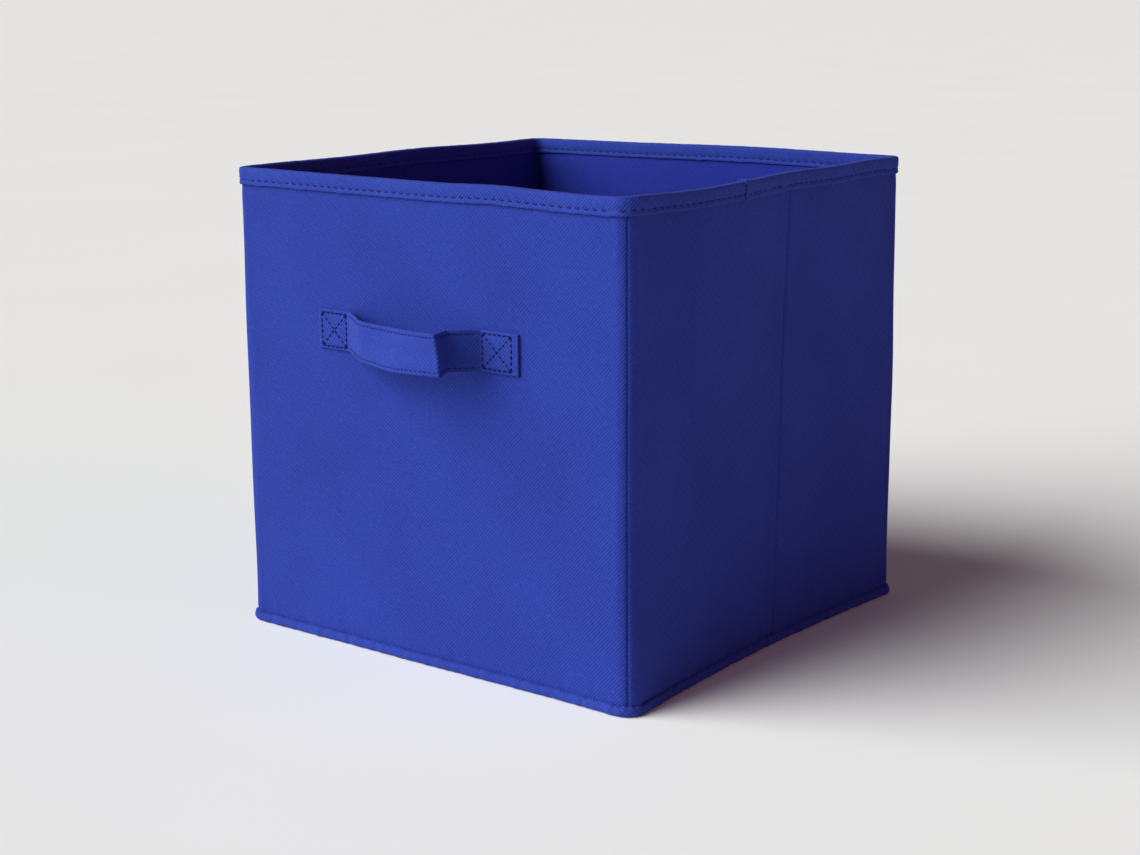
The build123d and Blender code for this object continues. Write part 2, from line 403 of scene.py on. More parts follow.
def embossed_cloth(name, dark, light, lint, relief=1.0):
    """Non-woven cloth pressed with fine slanting ribs, slightly fuzzy and uneven."""
    material, tree, shader = node_material(name)
    place = cloth_place(tree)

    def coordinate(direction, pitch):
        dot = tree.nodes.new("ShaderNodeVectorMath")
        dot.operation = "DOT_PRODUCT"
        tree.links.new(place, dot.inputs[0])
        dot.inputs[1].default_value = (
            math.cos(direction) / pitch, math.sin(direction) / pitch, 0
        )
        return dot.outputs["Value"]

    wander = ramp(tree, noise(tree, place, 90.0, 2.0), 0.0, 1.0, -0.35, 0.35)
    across = math_node(tree, "ADD", coordinate(TWILL_SLOPE + math.pi / 2, TWILL_PITCH), wander)
    rib = math_node(tree, "SINE", math_node(tree, "MULTIPLY", across, TURN))
    rib = ramp(tree, rib, -1.0, 1.0)
    dash = math_node(tree, "SINE", math_node(
        tree, "MULTIPLY", coordinate(TWILL_SLOPE, DASH * TWILL_PITCH), TURN))
    dash = ramp(tree, dash, -1.0, 1.0, 0.75, 1.0)
    rib = math_node(tree, "MULTIPLY", rib, dash)
    fibre = noise(tree, place, 2600.0, 4.0, 0.65)
    clump = noise(tree, place, 420.0, 3.0, 0.6)
    patch = noise(tree, place, 13.0, 3.0, 0.55)

    tone = math_node(tree, "ADD", math_node(tree, "MULTIPLY", rib, 0.58), ramp(
        tree, clump, 0.3, 0.7, -0.12, 0.14))
    tone = math_node(tree, "ADD", tone, ramp(tree, fibre, 0.25, 0.75, -0.1, 0.22))
    tone = math_node(tree, "ADD", tone, ramp(tree, patch, 0.3, 0.7, -0.1, 0.12))
    colour = mixed(tree, ramp(tree, tone, 0.0, 1.0), dark, light)
    speck = ramp(tree, noise(tree, place, 560.0, 1.0), 0.76, 0.84, 0.0, 0.4)
    colour = mixed(tree, speck, colour, lint)
    tree.links.new(colour, shader.inputs["Base Color"])
    tree.links.new(ramp(tree, fibre, 0.2, 0.8, 0.72, 0.92), shader.inputs["Roughness"])
    shader.inputs["Specular IOR Level"].default_value = 0.1
    shader.inputs["Sheen Weight"].default_value = 0.05
    shader.inputs["Sheen Roughness"].default_value = 0.45
    shader.inputs["Sheen Tint"].default_value = (0.75, 0.7, 1.0, 1.0)

    height = math_node(tree, "ADD", rib, ramp(tree, fibre, 0.0, 1.0, 0.0, 0.7))
    height = math_node(tree, "ADD", height, ramp(tree, clump, 0.0, 1.0, 0.0, 0.8))
    add_bump(tree, shader, height, 0.75 * relief, 0.16)
    return material


def thread_material(name, dark, light):
    """Two-ply sewing thread: slanting plies along each stitch."""
    material, tree, shader = node_material(name)
    place = cloth_place(tree)
    wave = tree.nodes.new("ShaderNodeTexWave")
    wave.inputs["Scale"].default_value = 900.0
    wave.inputs["Distortion"].default_value = 0.6
    wave.bands_direction = "DIAGONAL"
    tree.links.new(place, wave.inputs["Vector"])
    fuzz = noise(tree, place, 6000.0, 2.0)
    ply = math_node(tree, "MULTIPLY", wave.outputs["Fac"], ramp(tree, fuzz, 0.2, 0.8, 0.6, 1.0))
    tree.links.new(mixed(tree, ply, dark, light), shader.inputs["Base Color"])
    tree.links.new(ramp(tree, fuzz, 0.2, 0.8, 0.5, 0.75), shader.inputs["Roughness"])
    shader.inputs["Specular IOR Level"].default_value = 0.12
    add_bump(tree, shader, ply, 0.5, 0.06)
    return material


def cardboard_material():
    """Grey-brown pressed board, mottled with paper fibre."""
    material, tree, shader = node_material("pressed_cardboard")
    where = tree.nodes.new("ShaderNodeTexCoord").outputs["Object"]
    mottle = noise(tree, where, 160.0, 6.0, 0.7)
    fibre = noise(tree, where, 1800.0, 4.0, 0.6)
    tone = math_node(tree, "ADD", math_node(tree, "MULTIPLY", mottle, 0.6), ramp(
        tree, fibre, 0.2, 0.8, 0.0, 0.4))
    colour = mixed(tree, tone, (0.24, 0.18, 0.12), (0.50, 0.42, 0.32))
    tree.links.new(colour, shader.inputs["Base Color"])
    tree.links.new(ramp(tree, fibre, 0.2, 0.8, 0.8, 0.95), shader.inputs["Roughness"])
    add_bump(tree, shader, fibre, 0.4, 0.1)
    return material


LINT = (0.20, 0.24, 0.52)
COVER = embossed_cloth("blue_cover_cloth", (0.013, 0.026, 0.205), (0.029, 0.060, 0.400), LINT)
LINING = embossed_cloth("blue_lining_cloth", (0.011, 0.019, 0.200), (0.024, 0.043, 0.380), LINT)
TAPE = embossed_cloth("blue_binding_tape", (0.015, 0.030, 0.220), (0.035, 0.072, 0.435), LINT, 1.1)
STRAP = embossed_cloth("blue_strap_cloth", (0.015, 0.030, 0.220), (0.033, 0.068, 0.425), LINT, 1.1)
NAVY = thread_material("navy_thread", (0.002, 0.003, 0.045), (0.006, 0.008, 0.110))
# This thread is darker than the cloth: partly the thread's own darker blue, partly painted shade of
# the groove that the stitches sit in.
BLUE_WITH_GROOVE_SHADE = thread_material("blue_thread_with_painted_groove_shade", (0.004, 0.007, 0.090), (0.012, 0.022, 0.210))
CARD = cardboard_material()

# ---------------------------------------------------------------- the walls
# How far from the middle the stiff stretches end, and the cloth of corners and crease begins.
PANEL_X, PANEL_Y, CREASE_Y = HALF_W - 10.0, HINGE_Y - 6.0, 7.0
HALF_SLIT = 0.05  # between the two halves of the side whose crease is open
BOARD_GAP = 1.5  # from the end of a stretch to the end of its board
RIM_THREAD, RIM_THREAD_R = 3.3, 0.3  # length and radius of one stitch along the rim
TAPE_PROUD = 0.85  # how far the rim tape stands off the wall along its stitch line
WELT_TAIL = 1.8  # how far the foot's seam allowance reaches in past the lining
CORNER_TAIL, CORNER_REACH = 3.2, 4.0  # how much further at a corner, and over what width
SNARL_PITCH = 3.4  # from one small tuck to the next where the foot's seam turns a corner


def bend(y_from, y_to, x):
    """Start and end points of a bend across an upright hinge, in metres."""
    return (x * MM, y_from * MM, 0), (x * MM, y_to * MM, 0)


# Each stretch of wall: its name, the body that it rides on or the two bodies that it lies between,
# where it starts and ends round the outline, and where a bend starts and ends.
NEAR, FAR = -HINGE_Y - BLEND, -HINGE_Y + BLEND
STRETCHES = (
    ("front", ("front",), -PANEL_X, PANEL_X, None),
    ("corner_right_front", ("front", "right_front"), PANEL_X, right_at(-PANEL_Y),
     bend(NEAR, FAR, HALF_W)),
    ("right_front", ("right_front",), right_at(-PANEL_Y), right_at(-CREASE_Y), None),
    ("crease_right", ("right_front", "right_rear"), right_at(-CREASE_Y), right_at(CREASE_Y),
     bend(-CREASE_BLEND, CREASE_BLEND, HALF_W)),
    ("right_rear", ("right_rear",), right_at(CREASE_Y), right_at(PANEL_Y), None),
    ("corner_right_rear", ("right_rear", "back"), right_at(PANEL_Y), back_at(PANEL_X),
     bend(-FAR, -NEAR, HALF_W)),
    ("back", ("back",), back_at(PANEL_X), back_at(-PANEL_X), None),
    ("corner_left_rear", ("back", "left_rear"), back_at(-PANEL_X), left_at(PANEL_Y),
     bend(-NEAR, -FAR, -HALF_W)),
    ("left_rear", ("left_rear",), left_at(PANEL_Y), left_at(HALF_SLIT), None),
    ("left_front", ("left_front",), left_at(-HALF_SLIT), left_at(-PANEL_Y), None),
    ("corner_left_front", ("left_front", "front"), left_at(-PANEL_Y), ROUND - PANEL_X,
     bend(FAR, NEAR, -HALF_W)),
)


def attach(piece, bodies):
    """The piece rides on its one body; a piece between two bodies keeps its place, baked into its
    points.
    """
    if len(bodies) == 1:
        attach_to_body(piece, bodies[0])
    else:
        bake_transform(piece)


def pucker(u, seed):
    """Small gathers along a sewn edge, about 1 at their largest."""
    rng = np.random.default_rng(seed)
    total = np.zeros(np.shape(u))
    for wave in (31.0, 17.0, 11.0, 7.3):
        repeats = round(ROUND / wave)
        phase = rng.uniform(0, TURN)
        total += np.sin(TURN * repeats * u / ROUND + phase)
    return total / 3.0


CREASES = (right_at(0), left_at(0))
# How far behind the fold the worn crease lies, at the foot and at the rim.
CREASE_FOOT, CREASE_HEAD = 8.0, 15.0
HINGES = (right_at(-HINGE_Y), right_at(HINGE_Y), left_at(HINGE_Y), left_at(-HINGE_Y))
SEAM_TURN = 0.5  # how far round a corner its seam lies, as a share of the corner
SEAMS = np.array([FRONT_END + SEAM_TURN * ARC, BACK_START - SEAM_TURN * ARC,
                  BACK_START + RUN_X + SEAM_TURN * ARC, ROUND - RUN_X / 2 - SEAM_TURN * ARC])


def crease_line(z):
    """Where the worn crease in the cover runs on each side: it leans back as it rises."""
    lean = CREASE_FOOT + (CREASE_HEAD - CREASE_FOOT) * z / HEIGHT
    return right_at(lean), left_at(lean)


def near(u, places, width):
    return sum(hump(u, place, width) for place in places)


def cover_relief(u, offset, z):
    """Folds, seams and gathers on the outside of the cover."""
    outside = offset > -COVER_T / 2 - 0.5
    low_gather = np.exp(-np.clip(z - FOOT_Z, 0, None) / 9.0) * (z > FOOT_Z)
    high_gather = np.exp(-np.clip(BINDING_Z - z, 0, None) / 7.0)
    out = (
        -1.05 * near(u, crease_line(z), 1.3) + 0.3 * near(u, HINGES, 1.6)
        - 0.9 * near(u, SEAMS, 0.55) + 0.12 * near(u, SEAMS + 1.8, 1.2)
        + 0.4 * pucker(u, 21) * low_gather + 0.15 * pucker(u, 22) * high_gather
    )
    return np.where(outside, out, 0), 0


def cover_profile():
    heights = spaced(12.0, BINDING_Z - 9.0, MEDIUM)
    outer = [(-1.2, FOOT_Z - 1.0), (-0.9, FOOT_Z), (-0.5, FOOT_Z + 0.8), (-0.25, 6.8), (-0.1, 8.0),
             (0.0, 10.0)]
    outer += [(0.0, z) for z in heights]
    outer += [(-0.05, BINDING_Z - 6.0), (-0.15, BINDING_Z - 3.5), (-0.3, BINDING_Z - 1.5),
              (-0.4, BINDING_Z), (-0.4, BINDING_Z + 3), (-0.4, HEIGHT - 2.5)]
    inner = [(-1.2, z) for z in np.linspace(HEIGHT - 2.5, 12.0, 14)]
    return outer + inner


def lining_profile():
    face, behind = -WALL_T, -WALL_T + LINING_T
    heights = spaced(8.0, BINDING_Z - 4.0, 2 * MEDIUM)
    inner = [(face, 0.9), (face, 3.0)] + [(face, z) for z in heights]
    inner += [(face + 0.2, BINDING_Z - 1), (face + 0.3, BINDING_Z + 2), (face + 0.3, HEIGHT - 2.5)]
    return inner + [(behind, z) for z in np.linspace(HEIGHT - 2.5, 0.9, 14)]


def lining_relief(u, offset, z):
    """Soft unevenness of the lining, drawn into its creases and clear of the corner seams."""
    inside = offset < -WALL_T + LINING_T / 2
    out = -0.5 * near(u, CREASES, 1.6) - 0.25 + 0.16 * ripple(u, z, 31)
    return np.where(inside, out, 0) + 0.9 * near(u, SEAMS, 3.5), 0


def board_profile():
    outer, inner = -COVER_T - 0.5, -WALL_T + LINING_T + 0.15
    heights = np.linspace(FOOT_Z + 1.5, HEIGHT - 4.0, 20)
    return [(outer, z) for z in heights] + [(inner, z) for z in reversed(heights)]


def binding_profile():
    """The rim tape: up the outside, over the top edge and down the inside."""
    low, hem, top = BINDING_Z, HEM_Z, HEIGHT
    outer = [
        (-0.2, low + 0.7), (0.4, low), (0.95, low), (1.15, low + 0.5), (1.1, low + 1.4),
        (0.95, hem - 0.6), (0.8, hem), (0.95, hem + 0.6), (1.1, hem + 1.6), (1.1, top - 3.6),
        (1.1, top - 1.5), (0.88, top - 0.65), (0.35, top - 0.12), (-0.5, top + 0.05),
        (-1.3, top + 0.05),
    ]
    middle = -WALL_T / 2
    return outer + [(2 * middle - offset, z) for offset, z in reversed(outer)]


def binding_relief(u, offset, z):
    """Loose lower edge, gathers between stitches and a slightly uneven top."""
    side = np.where(offset > -WALL_T / 2, 1.0, -1.0)
    edge = np.clip((HEM_Z - z) / HEM_UP, 0, 1)
    dimple = hump(z, HEM_Z, 0.8) * (0.5 + 0.5 * np.cos(TURN * u / STITCH))
    crown = np.clip((z - HEM_Z) / 4.0, 0, 1)
    out = side * (
        0.16 * pucker(u, 41) * edge - 0.35 * dimple + 0.1 * pucker(u, 42) * crown
        - 0.35 * near(u, CREASES, 1.6) + 0.25 * near(u, HINGES, 1.0)
    )
    up = 0.25 * pucker(u, 43) * edge + 0.08 * pucker(u, 44) * crown
    return out, up


def welt_profile():
    """The rolled seam at the foot: a soft round bead with a flat tail under the wall."""
    out = WELT_OUT
    bead = [
        (-1.0, 5.9), (-0.2, 5.7), (0.7, 5.4), (1.35, 4.8), (0.85 * out, 3.9), (out, 2.8),
        (0.95 * out, 1.6), (0.7 * out, 0.7), (0.3 * out, 0.15), (-1.0, 0.05), (-2.6, 0.1),
    ]
    tail = -WALL_T - WELT_TAIL
    return bead + [(tail, 0.3), (tail, 0.85), (-2.8, 1.6), (-1.8, 4.6)]


def welt_relief(u, offset, z):
    """Gathers along the foot's seam, with tighter tucks at the corners."""
    outside = np.clip((offset + 0.6) / 1.2, 0, 1)
    out = outside * (0.32 * pucker(u, 51) + 0.12 * pucker(3 * u, 52) - 0.5 * near(u, CREASES, 1.2))
    # The tail reaches further in at the corners, to close the floor there.
    out = out - CORNER_TAIL * (offset < -WALL_T) * near(u, SEAMS, CORNER_REACH)
    snarl = near(u, SEAMS, 9.0) * np.sin(TURN * u / SNARL_PITCH)
    up = np.clip(z / 3.0 - 0.4, 0, 1) * (0.35 * pucker(u, 53) + 0.45 * snarl)
    return out, up


def thread_places(low, high, pitch):
    """Middles of stitches of one pitch between two distances, in step round the outline."""
    first = math.ceil((low + pitch / 2) / pitch)
    last = math.floor((high - pitch / 2) / pitch)
    return np.arange(first, last + 1) * pitch


def wall_stretch(name, bodies, low, high, blend):
    """All the cloth of one stretch of wall, and the board of a stretch that is stiff."""
    stiff = blend is None
    marks = np.array([m + d for m in (*HINGES, *SEAMS) for d in np.arange(-3, 3.1, 0.4)])
    crease = np.array([side(y) for side in (right_at, left_at) for y in np.arange(-3, 20, 0.7)])
    marks = np.concatenate([marks, crease])
    us = spaced(low, high, MEDIUM if stiff else FINE, marks)
    fine = spaced(low, high, TAPE_STEP if stiff else FINE)
    rough = spaced(low, high, 2 * MEDIUM if stiff else FINE, marks)
    made = {
        "cover": sweep(name + "_cover_cloth", us, cover_profile(), COVER,
                       cover_relief),
        "lining": sweep(name + "_lining_cloth", rough, lining_profile(), LINING,
                        lining_relief),
        "rim_binding": sweep(name + "_rim_tape", fine, binding_profile(), TAPE,
                             binding_relief),
        "bottom_welt": sweep(name + "_foot_welt", fine, welt_profile(), TAPE,
                             welt_relief),
    }
    if stiff:
        ends = (low + BOARD_GAP, high - BOARD_GAP)
        made["board"] = sweep(name + "_card", spaced(*ends, COARSE), board_profile(), CARD)
    places = thread_places(low, high, STITCH)
    # The rim stitches' darker thread colour paints part of the shade in their groove.
    outer = wall_threads(name + "_rim_stitches", places, HEM_Z, TAPE_PROUD, False, False,
                         RIM_THREAD, RIM_THREAD_R, BLUE_WITH_GROOVE_SHADE)
    inner = wall_threads(name + "_inner_rim_stitches", places, HEM_Z, -WALL_T - TAPE_PROUD, True,
                         False, RIM_THREAD, RIM_THREAD_R, BLUE_WITH_GROOVE_SHADE)
    for piece in [*made.values(), outer, inner]:
        attach(piece, bodies)
    return made


for name, bodies, low, high, blend in STRETCHES:
    made = wall_stretch(name, bodies, low, high, blend)
    if blend is None:
        for kind, piece in made.items():
            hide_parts(f"{name}_{kind}")
    for kind in ("cover", "lining"):
        wide, tall = (high - low) * MM, (HEIGHT - FOOT_Z) * MM


# ---------------------------------------------------------------- lap of the rim tape
JOIN_LOW, JOIN_HIGH = (corner[1] for corner in mm_box("rim_binding_join"))
LAP_LOOSE, LAP_SINK, LAP_ROLL, LAP_LOOP = 0.5, 0.7, 0.2, 0.6  # how the lap lies on the tape


def lap_profile():
    """A second layer of tape over the first, on both sides of the rim."""
    middle = -WALL_T / 2
    lap = []
    for offset, z in binding_profile():
        side = 1 if offset > middle else -1
        up = LAP_LOOSE * (z > HEIGHT - 2.2) - 0.4 * (z < HEM_Z)
        lap.append((offset + side * LAP_LOOSE, z + up))
    return lap


def lap_relief(u, offset, z):
    """The lap's free end rolls and stands in a small loop; its other end sinks into the tape."""
    out, up = binding_relief(u, offset, z)
    side = np.where(offset > -WALL_T / 2, 1.0, -1.0)
    along = (u - right_at(JOIN_LOW)) / (JOIN_HIGH - JOIN_LOW)
    sink = LAP_SINK * np.clip(along * 1.6 - 0.5, 0, 1)
    roll = LAP_ROLL * hump(u, right_at(JOIN_LOW) + 1.2, 0.9)
    loop = hump(u, right_at(JOIN_LOW) + 1.4, 1.6) * np.clip((z - HEIGHT + 3.0) / 3.0, 0, 1)
    return out + side * (roll - sink), up + LAP_LOOP * loop - sink * (z > HEIGHT - 2)


lap = sweep("rim_tape_lap", spaced(right_at(JOIN_LOW), right_at(JOIN_HIGH), FINE / 2),
            lap_profile(), TAPE, lap_relief)
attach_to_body(lap, "right_front")
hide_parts("rim_binding_join")
lap_stitches = wall_threads("rim_lap_stitches", right_at(JOIN_LOW) - 0.35,
                            np.array([HEM_Z + 0.6, HEM_Z + 2.8, HEM_Z + 5.0]), 1.0, False, True,
                            2.3, 0.34, NAVY)
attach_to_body(lap_stitches, "right_front")

# ---------------------------------------------------------------- the handle strap
TAB_LEFT = [corner[0] for corner in mm_box("handle_tab_left")]
TAB_RIGHT = [corner[0] for corner in mm_box("handle_tab_right")]
STRAP_LOW, STRAP_HIGH = (corner[2] for corner in mm_box("handle_grip"))
STRAP_Z, STRAP_HALF = (STRAP_LOW + STRAP_HIGH) / 2, (STRAP_HIGH - STRAP_LOW) / 2
STRAP_T = -HALF_D - mm_box("handle_tab_left")[0][1]
EDGE_SEAM = STRAP_HALF - 2.4  # edge stitching to the strap's centre line
FOLD_X = 38.2  # where the loop doubles back on itself
PATH_STEP = 0.8  # spacing of points along the strap
EDGE_STITCH = 3.1  # one stitch and its gap along the strap's edges
BOX_STITCH = 3.3  # the same in the boxes of thick thread


def rounded_path(points, radii, step):
    """Points and directions along straight runs joined by arcs, about step apart."""
    points = [np.array(p, float) for p in points]
    path = [points[0]]
    for before, corner, after, radius in zip(points, points[1:], points[2:], radii):
        a, b = before - corner, after - corner
        a, b = a / np.linalg.norm(a), b / np.linalg.norm(b)
        half = math.acos(np.clip(a @ b, -1, 1)) / 2
        centre = corner + (a + b) / np.linalg.norm(a + b) * radius / math.sin(half)
        first, last = corner + a * radius / math.tan(half), corner + b * radius / math.tan(half)
        turn = math.pi - 2 * half
        count = max(3, int(math.ceil(turn * radius / step * 2)), int(turn / 0.2) + 1)
        start = first - centre
        sign = math.copysign(1, start[0] * (last - centre)[1] - start[1] * (last - centre)[0])
        for angle in np.linspace(0, turn, count) * sign:
            c, s = math.cos(angle), math.sin(angle)
            path.append(centre + np.array([c * start[0] - s * start[1], s * start[0] + c * start[1]]))
    path.append(points[-1])
    dense = [path[0]]
    for a, b in zip(path, path[1:]):
        count = max(1, int(math.ceil(np.linalg.norm(b - a) / step)))
        dense += [a + (b - a) * k / count for k in range(1, count + 1)]
    dense = np.array(dense)
    heading = np.gradient(dense, axis=0)
    return dense, heading / np.linalg.norm(heading, axis=1, keepdims=True)


def strap_path():
    """The strap's centre line in plan: X and the distance it stands off the wall."""
    flat = STRAP_T / 2 + 0.1
    points = [
        (TAB_LEFT[0], flat), (TAB_LEFT[1] + 1.0, flat), (-27.5, 20.3), (8.0, 27.6),
        (FOLD_X, 29.4), (33.0, 15.4), (TAB_RIGHT[0] - 0.6, flat), (TAB_RIGHT[1], flat),
    ]
    return rounded_path(points, [7, 17, 60, 0.7, 2.6, 3], PATH_STEP)


PATH, HEADING = strap_path()
LENGTHS = np.concatenate([[0], np.cumsum(np.linalg.norm(np.diff(PATH, axis=0), axis=1))])
FOLD_S = LENGTHS[np.argmax(PATH[:, 1])]


def on_strap(s, across, proud):
    """Points on the strap: distance along it, distance up from its middle, and outwards."""
    x, off = (np.interp(s, LENGTHS, PATH[:, k]) for k in (0, 1))
    run_x, run_off = (np.interp(s, LENGTHS, HEADING[:, k]) for k in (0, 1))
    low_share = -across / STRAP_HALF
    standing = np.clip(off / 28.0, 0, 1)
    off = off + standing * (3.0 * low_share * hump(x, 2, 24) - 0.8 * hump(across, 0, 4.5))
    x = x + (1.95 * low_share + 0.25) * hump(s, FOLD_S, 11.0) * standing
    x = x - run_off * proud
    off = off + run_x * proud
    z = STRAP_Z + across + 0.5 * standing * np.sin(s / 17.0)
    front = np.broadcast_to([0.0, -1.0], x.shape + (2,))
    wall = settle(np.stack([x, np.full(x.shape, -HALF_D)], -1), front, z)
    return np.stack([x, -HALF_D - off - wall, z], -1)


def strap_section():
    """A closed loop of (up, outwards) round the folded tape, thinner at its stitch lines."""
    rows = spaced(-STRAP_HALF + 0.7, STRAP_HALF - 0.7, 1.4, [
        side * (EDGE_SEAM + d) for side in (-1, 1) for d in (-0.8, -0.4, 0, 0.4, 0.8)
    ])
    thick = STRAP_T / 2 + 0.12 - 0.28 * (hump(np.abs(rows), EDGE_SEAM, 0.7))
    thick = thick - 0.1 * hump(rows, 0, 6.0)
    face = [(up, out) for up, out in zip(rows, thick)]
    top = [(STRAP_HALF - 0.2, 0.5), (STRAP_HALF, 0.0), (STRAP_HALF - 0.2, -0.5)]
    back = [(up, -out) for up, out in reversed(face)]
    foot = [(-up, -out) for up, out in top]
    return face + top + back + foot


def handle_strap():
    section = np.array(strap_section())
    shape = (len(LENGTHS), len(section))
    s = np.broadcast_to(LENGTHS[:, None], shape)
    across = np.broadcast_to(section[:, 0], shape)
    proud = np.broadcast_to(section[:, 1], shape)
    bumps = 0.10 * np.cos(TURN * s / EDGE_STITCH) * hump(np.abs(across), EDGE_SEAM, 1.0)
    edge = np.clip((np.abs(across) - EDGE_SEAM) / 2.0, 0, 1)
    proud = proud * (1 + 0.12 * np.sin(s / 4.3) * edge) - np.sign(proud) * bumps
    points = on_strap(s, across, proud).reshape(-1, 3)
    loop = np.concatenate([[0], np.cumsum(np.linalg.norm(np.diff(section, axis=0), axis=1))])
    v = np.broadcast_to(loop, shape)
    uvs = np.stack([s, v + STRAP_Z], -1).reshape(-1, 2)
    return new_object("handle_strap", points, grid_faces(*shape, True), uvs, STRAP)


def strap_threads(name, s, across, along_up, along_run, length, radius, material, lift):
    """Stitches on the outer face of the strap, in a direction of (up, along)."""
    s, across = np.broadcast_arrays(np.asarray(s, float), np.asarray(across, float))
    proud = np.full(s.shape, STRAP_T / 2 + 0.05)
    centres = on_strap(s, across, proud)
    ahead = on_strap(s + 0.5 * along_run, across + 0.5 * along_up, proud) - centres
    along = ahead / np.linalg.norm(ahead, axis=1, keepdims=True)
    out = on_strap(s, across, proud + 0.5) - centres
    out = out / np.linalg.norm(out, axis=1, keepdims=True)
    return threads(name, centres, along, out, length, radius, material, lift)


def between(low, high, count):
    """The middles of so many equal steps from low to high."""
    return low + (np.arange(count) + 0.5) * (high - low) / count


def box_stitching(name, left, right, low, high, box_nodes):
    """A stitched box with a cross in it, in thick navy thread, on a sewn tab."""
    tab_end = -1 if left > 0 else 0
    start = LENGTHS[tab_end] - PATH[tab_end, 0]
    s_low, s_high = start + left, start + right
    wide, tall = s_high - s_low, high - low
    parts = []
    for side, across in enumerate((low, high)):
        s = between(s_low, s_high, round(wide / BOX_STITCH))
        parts.append(strap_threads(f"{name}_row_{side}", s, across, 0, 1, 2.7, 0.42, NAVY, 0.5))
    for side, s in enumerate((s_low, s_high)):
        across = between(low, high, round(tall / BOX_STITCH))
        parts.append(strap_threads(f"{name}_side_{side}", s, across, 1, 0, 2.8, 0.42, NAVY, 0.5))
    slant = math.hypot(wide, tall)
    for side in (1, -1):
        t = between(0, 1, round(slant / BOX_STITCH))
        across = low + tall * t if side > 0 else high - tall * t
        parts.append(strap_threads(f"{name}_cross_{side + 1}", s_low + wide * t, across,
                                   side * tall / slant, wide / slant, 2.7, 0.38, NAVY, 0.45))
    for part in parts:
        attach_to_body(part, "front")
    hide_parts(*box_nodes)


strap = handle_strap()
strap_length = LENGTHS[-1]
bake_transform(strap)
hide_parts("handle_tab_left", "handle_tab_right", "handle_grip", "handle_flex_left",
            "handle_flex_right")
for side, across in (("top", EDGE_SEAM), ("bottom", -EDGE_SEAM)):
    places = np.arange(26.0, strap_length - 29.0, EDGE_STITCH)  # clear of the boxes
    seam = strap_threads(f"strap_{side}_stitches", places, across, 0, 1, 2.3, 0.24, BLUE_WITH_GROOVE_SHADE, 0.3)
    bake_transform(seam)

LEFT_BOX = [corner[0] for corner in mm_box("handle_stitching_left")]
RIGHT_BOX = [corner[0] for corner in mm_box("handle_stitching_right")]
box_stitching("left_box", *LEFT_BOX, -9.8, 9.8, ["handle_stitching_left"])
box_stitching("right_box", *RIGHT_BOX, -9.6, 10.0, ["handle_stitching_right"])


# ---------------------------------------------------------------- base board and floor cloth
def pad(name, outline_at, as_, bs, low, high, radius, edge_gap, relief, material):
    """A thin closed cloth piece between two heights with rounded edges.

    outline_at(a, b) gives plan points; edge_gap(a, b) how far they are from the edge.
    """
    shape = (len(as_), len(bs))
    a, b = np.broadcast_to(as_[:, None], shape), np.broadcast_to(bs, shape)
    plan = outline_at(a, b)
    gap = np.clip(edge_gap(a, b), 0, radius)
    bulge = np.sqrt(np.clip(1 - ((radius - gap) / radius) ** 2, 0, 1))
    middle, half = (low + high) / 2, (high - low) / 2
    lift = relief(plan[..., 0], plan[..., 1]) * np.clip(edge_gap(a, b) / 6, 0, 1)
    points, faces = [], []
    for side in (1, -1):
        z = middle + side * half * bulge + lift
        points.append(np.concatenate([plan, z[..., None]], -1).reshape(-1, 3))
    for side in (0, 1):
        start = side * len(points[0])
        for i in range(shape[0] - 1):
            for j in range(shape[1] - 1):
                p = start + i * shape[1] + j
                quad = (p, p + shape[1], p + shape[1] + 1, p + 1)
                faces.append(quad if side == 0 else quad[::-1])
    rim = [i * shape[1] for i in range(shape[0])]
    rim += [(shape[0] - 1) * shape[1] + j for j in range(1, shape[1])]
    rim += [i * shape[1] + shape[1] - 1 for i in reversed(range(shape[0] - 1))]
    rim += [j for j in reversed(range(1, shape[1] - 1))]
    below = len(points[0])
    for p, q in zip(rim, rim[1:] + rim[:1]):
        faces.append((q, p, below + p, below + q))
    points = np.concatenate(points)
    return new_object(name, points, faces, points[:, :2], material)


SLEEVE_R, SLEEVE_STEP = 1.3, 4.0  # the sleeve's rounded edge, and the spacing of its points
SLEEVE_HEM = 6.0  # from the sleeve's edge in to its stitching


def edged(low, high):
    """Values across the sleeve, closer together by its edges."""
    inset = SLEEVE_R * np.array([0.1, 0.3, 0.6, 1, 2, 4])
    return spaced(low, high, SLEEVE_STEP, low + inset, high - inset)


def base_sleeve():
    low, high = mm_box("base_sleeve")
    xs, ys = edged(low[0], high[0]), edged(low[1], high[1])

    def gap(a, b):
        return np.minimum.reduce([a - low[0], high[0] - a, b - low[1], high[1] - b])

    def relief(x, y):
        edge = gap(x, y)
        seam = 0.2 * hump(edge, 2.5, 1.5) - 0.25 * hump(edge, SLEEVE_HEM, 1.0)
        return 0.25 * ripple(x, y, 61) + seam

    return pad("base_board_sleeve", lambda a, b: np.stack([a, b], -1), xs, ys, low[2], high[2],
               SLEEVE_R, gap, relief, LINING), low, high


sleeve, low, high = base_sleeve()
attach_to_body(sleeve, "base_flap")
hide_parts("base_sleeve")


def flat_threads(name, starts, ends, z, body):
    """Stitch lines between pairs of plan points on a level piece of cloth."""
    centres, along = [], []
    for start, end in zip(starts, ends):
        start, end = np.array(start, float), np.array(end, float)
        run = np.linalg.norm(end - start)
        way = (end - start) / run
        for t in between(0, run, max(1, round(run / STITCH))):
            centres.append([*(start + way * t), z])
            along.append([*way, 0.0])
    out = np.tile([0.0, 0.0, 1.0], (len(centres), 1))
    piece = threads(name, np.array(centres), np.array(along), out, 3.4, 0.28, BLUE_WITH_GROOVE_SHADE)
    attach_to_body(piece, body)


